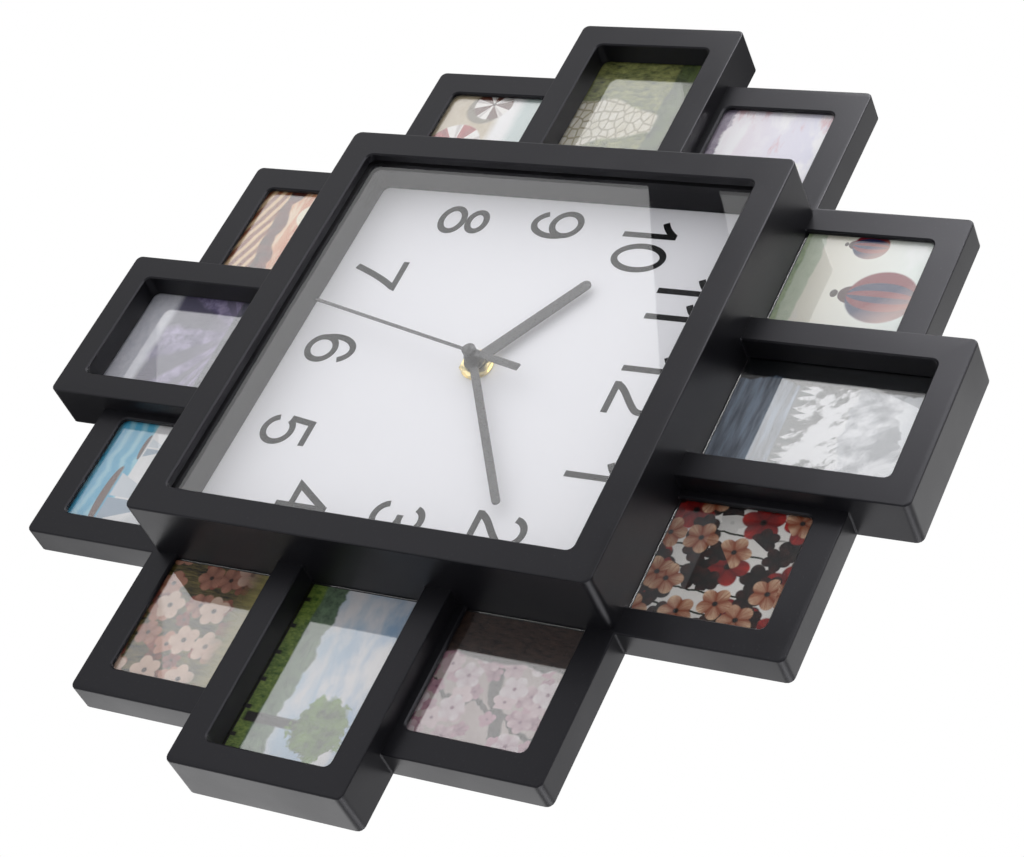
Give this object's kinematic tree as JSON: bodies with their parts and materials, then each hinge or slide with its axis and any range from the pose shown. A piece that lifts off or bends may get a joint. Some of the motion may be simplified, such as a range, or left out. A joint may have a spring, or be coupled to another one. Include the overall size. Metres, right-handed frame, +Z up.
{
  "type": "photo frame wall clock",
  "caption": "Square quartz wall clock in a deep black box, ringed by stepped tall and low photo frames in one moulding, with glazed white dial, three hands and lift-off photo covers.",
  "frame": {"origin": "where the wall hook's shank bears in the top of the keyhole slot, in the plane of the wall", "axes": "+Z up to twelve o'clock, +X to three o'clock as seen from the front, +Y into the wall; the face looks along -Y"},
  "size_m": [0.4, 0.0416, 0.4],
  "materials": {
    "frame_black": "satin moulded black, fine texture",
    "inner_black": "matt moulded black",
    "dial_white": "smooth matt white with printed black numbers",
    "clock_glass": "clear flat glass",
    "lens_clear": "clear flat plastic sheet",
    "hand_black": "satin black enamel",
    "nut_brass": "bright turned brass",
    "cover_fibre": "matt black moulded cover",
    "photo_print": null,
    "movement_black": "matt moulded black",
    "gear_nylon": "natural moulded plastic",
    "coil_copper": "enamelled copper winding on a steel stator",
    "board_green": "coated circuit board",
    "contact_steel": "nickel plated spring steel",
    "cell_jacket": "plain printed jacket with a bare steel end"
  },
  "bodies": {
    "housing": {"front_frame": "frame_black", "clock_glass": "clock_glass", "spacer_frame": "inner_black", "dial_plate": "dial_white", "back_panel": "cover_fibre", "movement_case": "movement_black", "movement_cover": "movement_black", "shaft_nut": "nut_brass", "motor_coil": "coil_copper", "circuit_board": "board_green", "contact_plus": "contact_steel", "contact_minus": "contact_steel", "lens_top_left": "lens_clear", "photo_top_left": "photo_print", "lens_top_middle": "lens_clear", "photo_top_middle": "photo_print", "lens_top_right": "lens_clear", "photo_top_right": "photo_print", "lens_right_upper": "lens_clear", "photo_right_upper": "photo_print", "lens_right_middle": "lens_clear", "photo_right_middle": "photo_print", "lens_right_lower": "lens_clear", "photo_right_lower": "photo_print", "lens_bottom_right": "lens_clear", "photo_bottom_right": "photo_print", "lens_bottom_middle": "lens_clear", "photo_bottom_middle": "photo_print", "lens_bottom_left": "lens_clear", "photo_bottom_left": "photo_print", "lens_left_lower": "lens_clear", "photo_left_lower": "photo_print", "lens_left_middle": "lens_clear", "photo_left_middle": "photo_print", "lens_left_upper": "lens_clear", "photo_left_upper": "photo_print"},
    "second_hand": {"second_hand": "hand_black", "second_wheel": "gear_nylon"},
    "minute_hand": {"minute_hand": "hand_black", "minute_wheel": "gear_nylon"},
    "hour_hand": {"hour_hand": "hand_black", "hour_wheel": "gear_nylon"},
    "third_wheel": {"third_wheel": "gear_nylon"},
    "motion_wheel": {"motion_wheel": "gear_nylon"},
    "step_wheel": {"step_wheel": "gear_nylon"},
    "rotor": {"rotor": "gear_nylon"},
    "set_knob": {"set_knob": "movement_black"},
    "battery": {"battery": "cell_jacket"},
    "cover_top_left": {"cover_top_left": "cover_fibre"},
    "cover_top_middle": {"cover_top_middle": "cover_fibre"},
    "cover_top_right": {"cover_top_right": "cover_fibre"},
    "cover_right_upper": {"cover_right_upper": "cover_fibre"},
    "cover_right_middle": {"cover_right_middle": "cover_fibre"},
    "cover_right_lower": {"cover_right_lower": "cover_fibre"},
    "cover_bottom_right": {"cover_bottom_right": "cover_fibre"},
    "cover_bottom_middle": {"cover_bottom_middle": "cover_fibre"},
    "cover_bottom_left": {"cover_bottom_left": "cover_fibre"},
    "cover_left_lower": {"cover_left_lower": "cover_fibre"},
    "cover_left_middle": {"cover_left_middle": "cover_fibre"},
    "cover_left_upper": {"cover_left_upper": "cover_fibre"}
  },
  "joints": [
    {"name": "second_hand_spin", "type": "hinge", "parent": "housing", "child": "second_hand", "pos_m": [0, -0.02, -0.084], "axis": [0, 1, 0], "continuous": true},
    {"name": "minute_hand_spin", "type": "hinge", "parent": "housing", "child": "minute_hand", "pos_m": [0, -0.02, -0.084], "axis": [0, 1, 0], "continuous": true},
    {"name": "hour_hand_spin", "type": "hinge", "parent": "housing", "child": "hour_hand", "pos_m": [0, -0.02, -0.084], "axis": [0, 1, 0], "continuous": true},
    {"name": "third_wheel_spin", "type": "hinge", "parent": "housing", "child": "third_wheel", "pos_m": [-0.00883, -0.02, -0.0789], "axis": [0, 1, 0], "continuous": true},
    {"name": "motion_wheel_spin", "type": "hinge", "parent": "housing", "child": "motion_wheel", "pos_m": [0.008, -0.02, -0.084], "axis": [0, 1, 0], "continuous": true},
    {"name": "step_wheel_spin", "type": "hinge", "parent": "housing", "child": "step_wheel", "pos_m": [0, -0.02, -0.0735], "axis": [0, 1, 0], "continuous": true},
    {"name": "rotor_spin", "type": "hinge", "parent": "housing", "child": "rotor", "pos_m": [0.0052, -0.02, -0.0705], "axis": [0, 1, 0], "continuous": true},
    {"name": "set_knob_turn", "type": "hinge", "parent": "housing", "child": "set_knob", "pos_m": [0.016, -0.02, -0.084], "axis": [0, 1, 0], "continuous": true},
    {"name": "battery_lift", "type": "slide", "parent": "housing", "child": "battery", "axis": [0, 1, 0], "range_m": [0, 0.03]},
    {"name": "cover_top_left_lift", "type": "slide", "parent": "housing", "child": "cover_top_left", "axis": [0, 1, 0], "range_m": [0, 0.02]},
    {"name": "cover_top_middle_lift", "type": "slide", "parent": "housing", "child": "cover_top_middle", "axis": [0, 1, 0], "range_m": [0, 0.02]},
    {"name": "cover_top_right_lift", "type": "slide", "parent": "housing", "child": "cover_top_right", "axis": [0, 1, 0], "range_m": [0, 0.02]},
    {"name": "cover_right_upper_lift", "type": "slide", "parent": "housing", "child": "cover_right_upper", "axis": [0, 1, 0], "range_m": [0, 0.02]},
    {"name": "cover_right_middle_lift", "type": "slide", "parent": "housing", "child": "cover_right_middle", "axis": [0, 1, 0], "range_m": [0, 0.02]},
    {"name": "cover_right_lower_lift", "type": "slide", "parent": "housing", "child": "cover_right_lower", "axis": [0, 1, 0], "range_m": [0, 0.02]},
    {"name": "cover_bottom_right_lift", "type": "slide", "parent": "housing", "child": "cover_bottom_right", "axis": [0, 1, 0], "range_m": [0, 0.02]},
    {"name": "cover_bottom_middle_lift", "type": "slide", "parent": "housing", "child": "cover_bottom_middle", "axis": [0, 1, 0], "range_m": [0, 0.02]},
    {"name": "cover_bottom_left_lift", "type": "slide", "parent": "housing", "child": "cover_bottom_left", "axis": [0, 1, 0], "range_m": [0, 0.02]},
    {"name": "cover_left_lower_lift", "type": "slide", "parent": "housing", "child": "cover_left_lower", "axis": [0, 1, 0], "range_m": [0, 0.02]},
    {"name": "cover_left_middle_lift", "type": "slide", "parent": "housing", "child": "cover_left_middle", "axis": [0, 1, 0], "range_m": [0, 0.02]},
    {"name": "cover_left_upper_lift", "type": "slide", "parent": "housing", "child": "cover_left_upper", "axis": [0, 1, 0], "range_m": [0, 0.02]}
  ],
  "couplings": [
    {"joint": "minute_hand_spin", "follows": "second_hand_spin", "ratio": 0.016667},
    {"joint": "hour_hand_spin", "follows": "second_hand_spin", "ratio": 0.0013889},
    {"joint": "third_wheel_spin", "follows": "second_hand_spin", "ratio": -0.13333},
    {"joint": "motion_wheel_spin", "follows": "second_hand_spin", "ratio": -0.0055556},
    {"joint": "step_wheel_spin", "follows": "second_hand_spin", "ratio": -6},
    {"joint": "rotor_spin", "follows": "second_hand_spin", "ratio": 30},
    {"joint": "set_knob_turn", "follows": "second_hand_spin", "ratio": 0.016667}
  ]
}
